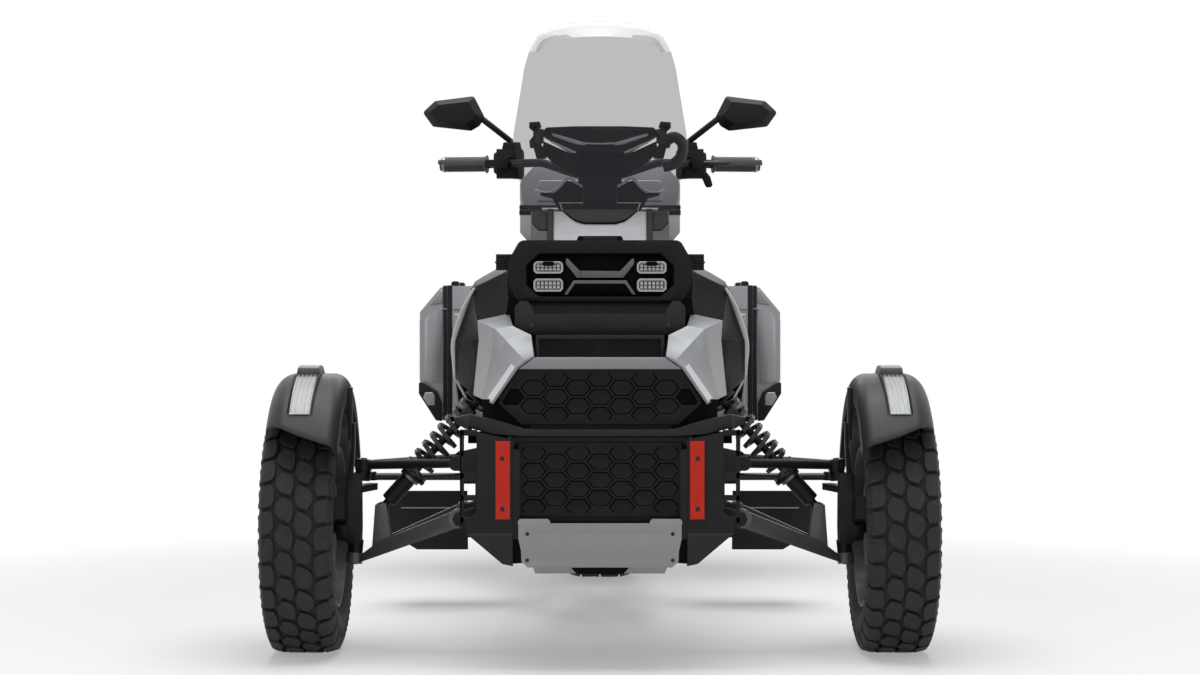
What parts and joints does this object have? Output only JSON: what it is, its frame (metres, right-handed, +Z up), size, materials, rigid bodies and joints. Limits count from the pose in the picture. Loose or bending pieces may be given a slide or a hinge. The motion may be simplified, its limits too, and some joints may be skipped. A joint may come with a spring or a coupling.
{
  "type": "reverse trike",
  "caption": "Three-wheeled touring motorcycle with two steered front wheels, side cases and a rear top case.",
  "frame": {"origin": "on the floor, under the middle of the vehicle's overall length and width", "axes": "+Z up, -Y forwards, +X to the rider's left"},
  "size_m": [1.56, 2.6, 1.558],
  "materials": {
    "moulded_black": "satin moulded plastic",
    "gloss_black": "gloss moulded plastic",
    "silver_paint": "metallic silver-grey gloss paint",
    "dark_metal": "satin black powder coat",
    "case_grey": "silver-grey painted case",
    "skid_aluminium": "bead-blasted sheet",
    "engine_metal": "cast and painted",
    "bare_steel": "machined",
    "red_paint": "gloss red",
    "tyre_rubber": "matt black rubber",
    "soft_rubber": "matt",
    "seat_vinyl": "grained vinyl",
    "clear_screen": "clear polycarbonate with a light grey tint",
    "clear_lamp": "clear moulded lens",
    "red_lamp": "red moulded lens",
    "mirror_glass": "silvered glass"
  },
  "bodies": {
    "root": {"accent_strips": "red_paint", "bulkhead": "dark_metal", "bumper_plates": "dark_metal", "cowls": "silver_paint", "cross_beams": "moulded_black", "dampers": "bare_steel", "dash": "moulded_black", "display": "gloss_black", "drive_belt": "soft_rubber", "engine": "engine_metal", "exhaust": "bare_steel", "fairing": "moulded_black", "footrests": "dark_metal", "frame": "dark_metal", "headlight_housing": "gloss_black", "headlight_lenses": "clear_lamp", "headlight_trim": "silver_paint", "lower_arms": "dark_metal", "lower_grille": "moulded_black", "nose_bar": "silver_paint", "pannier_body_left": "case_grey", "pannier_body_right": "case_grey", "passenger_seat": "seat_vinyl", "radiator": "dark_metal", "rear_fender": "moulded_black", "rear_rack": "dark_metal", "rider_seat": "seat_vinyl", "shoulders": "gloss_black", "side_covers": "gloss_black", "skid_plate": "skid_aluminium", "springs": "dark_metal", "swingarm": "dark_metal", "tail_lamp": "red_lamp", "tank_cover": "silver_paint", "top_case_base": "case_grey", "upper_arms": "dark_metal", "upper_grille": "moulded_black", "windscreen": "clear_screen"},
    "handlebar": {"handlebar": "dark_metal", "grips": "soft_rubber", "controls": "moulded_black", "mirrors": "moulded_black", "mirror_glass": "mirror_glass"},
    "tie_rods": {"tie_rods": "bare_steel"},
    "wheel_rear": {"rear_tyre": "tyre_rubber", "rear_rim": "engine_metal"},
    "top_case_lid": {"top_case_lid": "case_grey"},
    "knuckle_left": {"knuckle_left": "dark_metal", "fender_left": "moulded_black", "fender_lamp_left": "clear_lamp"},
    "wheel_left": {"front_tyre_left": "tyre_rubber", "front_rim_left": "engine_metal"},
    "pannier_lid_left": {"pannier_lid_left": "case_grey"},
    "knuckle_right": {"knuckle_right": "dark_metal", "fender_right": "moulded_black", "fender_lamp_right": "clear_lamp"},
    "wheel_right": {"front_tyre_right": "tyre_rubber", "front_rim_right": "engine_metal"},
    "pannier_lid_right": {"pannier_lid_right": "case_grey"}
  },
  "joints": [
    {"name": "handlebar_steer", "type": "hinge", "parent": "root", "child": "handlebar", "pos_m": [0, -0.43, 1.15], "axis": [0, 0.342, 0.9397], "range_deg": [-30, 30]},
    {"name": "tie_rod_slide", "type": "slide", "parent": "root", "child": "tie_rods", "axis": [1, 0, 0], "range_m": [-0.0555, 0.0555]},
    {"name": "knuckle_left_steer", "type": "hinge", "parent": "root", "child": "knuckle_left", "pos_m": [0.585, -0.94, 0.225], "axis": [-0.0991, 0, 0.9951], "range_deg": [-27.5, 27.5]},
    {"name": "wheel_left_spin", "type": "hinge", "parent": "knuckle_left", "child": "wheel_left", "pos_m": [0.695, -0.94, 0.298], "axis": [1, 0, 0], "continuous": true},
    {"name": "pannier_left_lid", "type": "hinge", "parent": "root", "child": "pannier_lid_left", "pos_m": [0.457, 0.81, 0.482], "axis": [0, 1, 0], "range_deg": [0, 75]},
    {"name": "knuckle_right_steer", "type": "hinge", "parent": "root", "child": "knuckle_right", "pos_m": [-0.585, -0.94, 0.225], "axis": [0.0991, 0, 0.9951], "range_deg": [-27.5, 27.5]},
    {"name": "wheel_right_spin", "type": "hinge", "parent": "knuckle_right", "child": "wheel_right", "pos_m": [-0.695, -0.94, 0.298], "axis": [1, 0, 0], "continuous": true},
    {"name": "pannier_right_lid", "type": "hinge", "parent": "root", "child": "pannier_lid_right", "pos_m": [-0.457, 0.81, 0.482], "axis": [0, -1, 0], "range_deg": [0, 75]},
    {"name": "wheel_rear_spin", "type": "hinge", "parent": "root", "child": "wheel_rear", "pos_m": [0, 0.78, 0.303], "axis": [1, 0, 0], "continuous": true},
    {"name": "top_case_lid", "type": "hinge", "parent": "root", "child": "top_case_lid", "pos_m": [0, 0.873, 1.128], "axis": [1, 0, 0], "range_deg": [0, 60]}
  ],
  "couplings": [
    {"joint": "knuckle_left_steer", "follows": "handlebar_steer", "ratio": 0.9},
    {"joint": "knuckle_right_steer", "follows": "handlebar_steer", "ratio": 0.9},
    {"joint": "tie_rod_slide", "follows": "handlebar_steer", "m_per_rad": -0.104}
  ]
}
